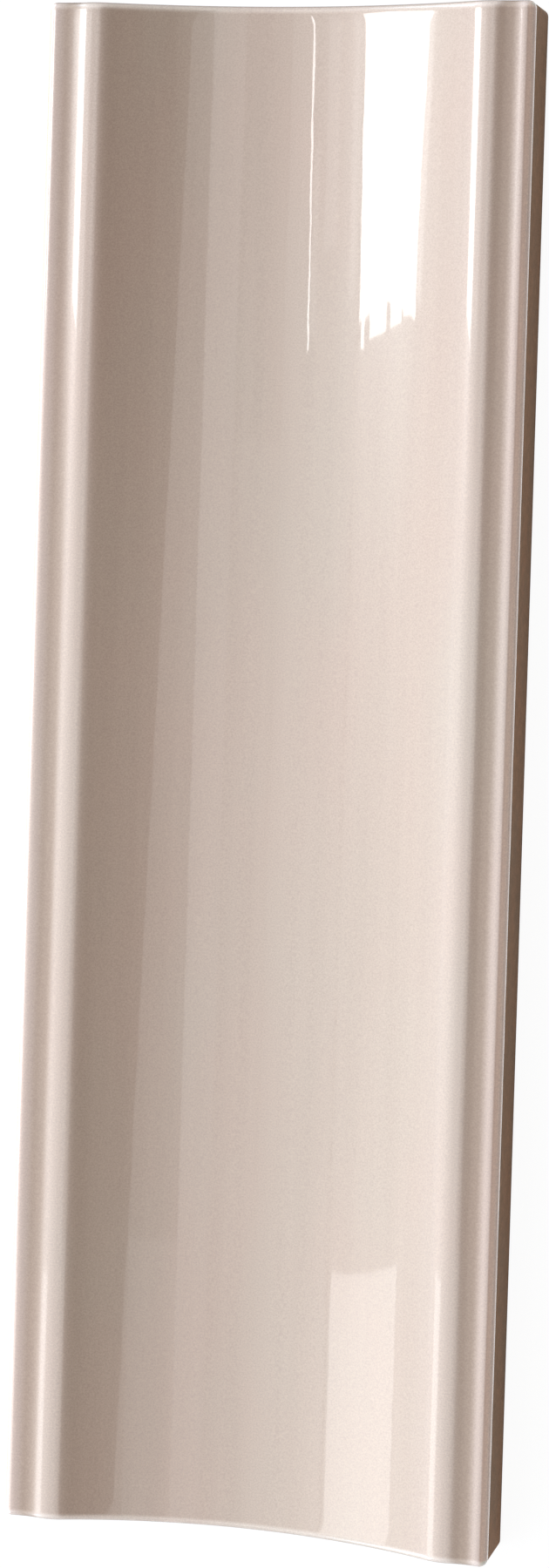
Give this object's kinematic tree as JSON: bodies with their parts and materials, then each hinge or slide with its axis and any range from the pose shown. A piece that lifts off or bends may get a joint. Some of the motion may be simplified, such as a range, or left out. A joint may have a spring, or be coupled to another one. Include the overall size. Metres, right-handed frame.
{
  "type": "ceramic tile",
  "caption": "Long glazed ceramic trim tile with a shallow cove along its face between two narrow hollowed shoulders, and a flat back.",
  "frame": {"origin": "centre of the flat back, which the tile lies on", "axes": "+X across the tile, +Y along the cove, +Z out of the glazed face"},
  "size_m": [0.065, 0.2, 0.01],
  "materials": {
    "glaze": "glossy warm greige glaze with fine speckle",
    "bare_clay": "unglazed fired brown clay, matte and mottled, on the sides and back"
  },
  "bodies": {
    "root": {"tile": "glaze"}
  },
  "joints": []
}
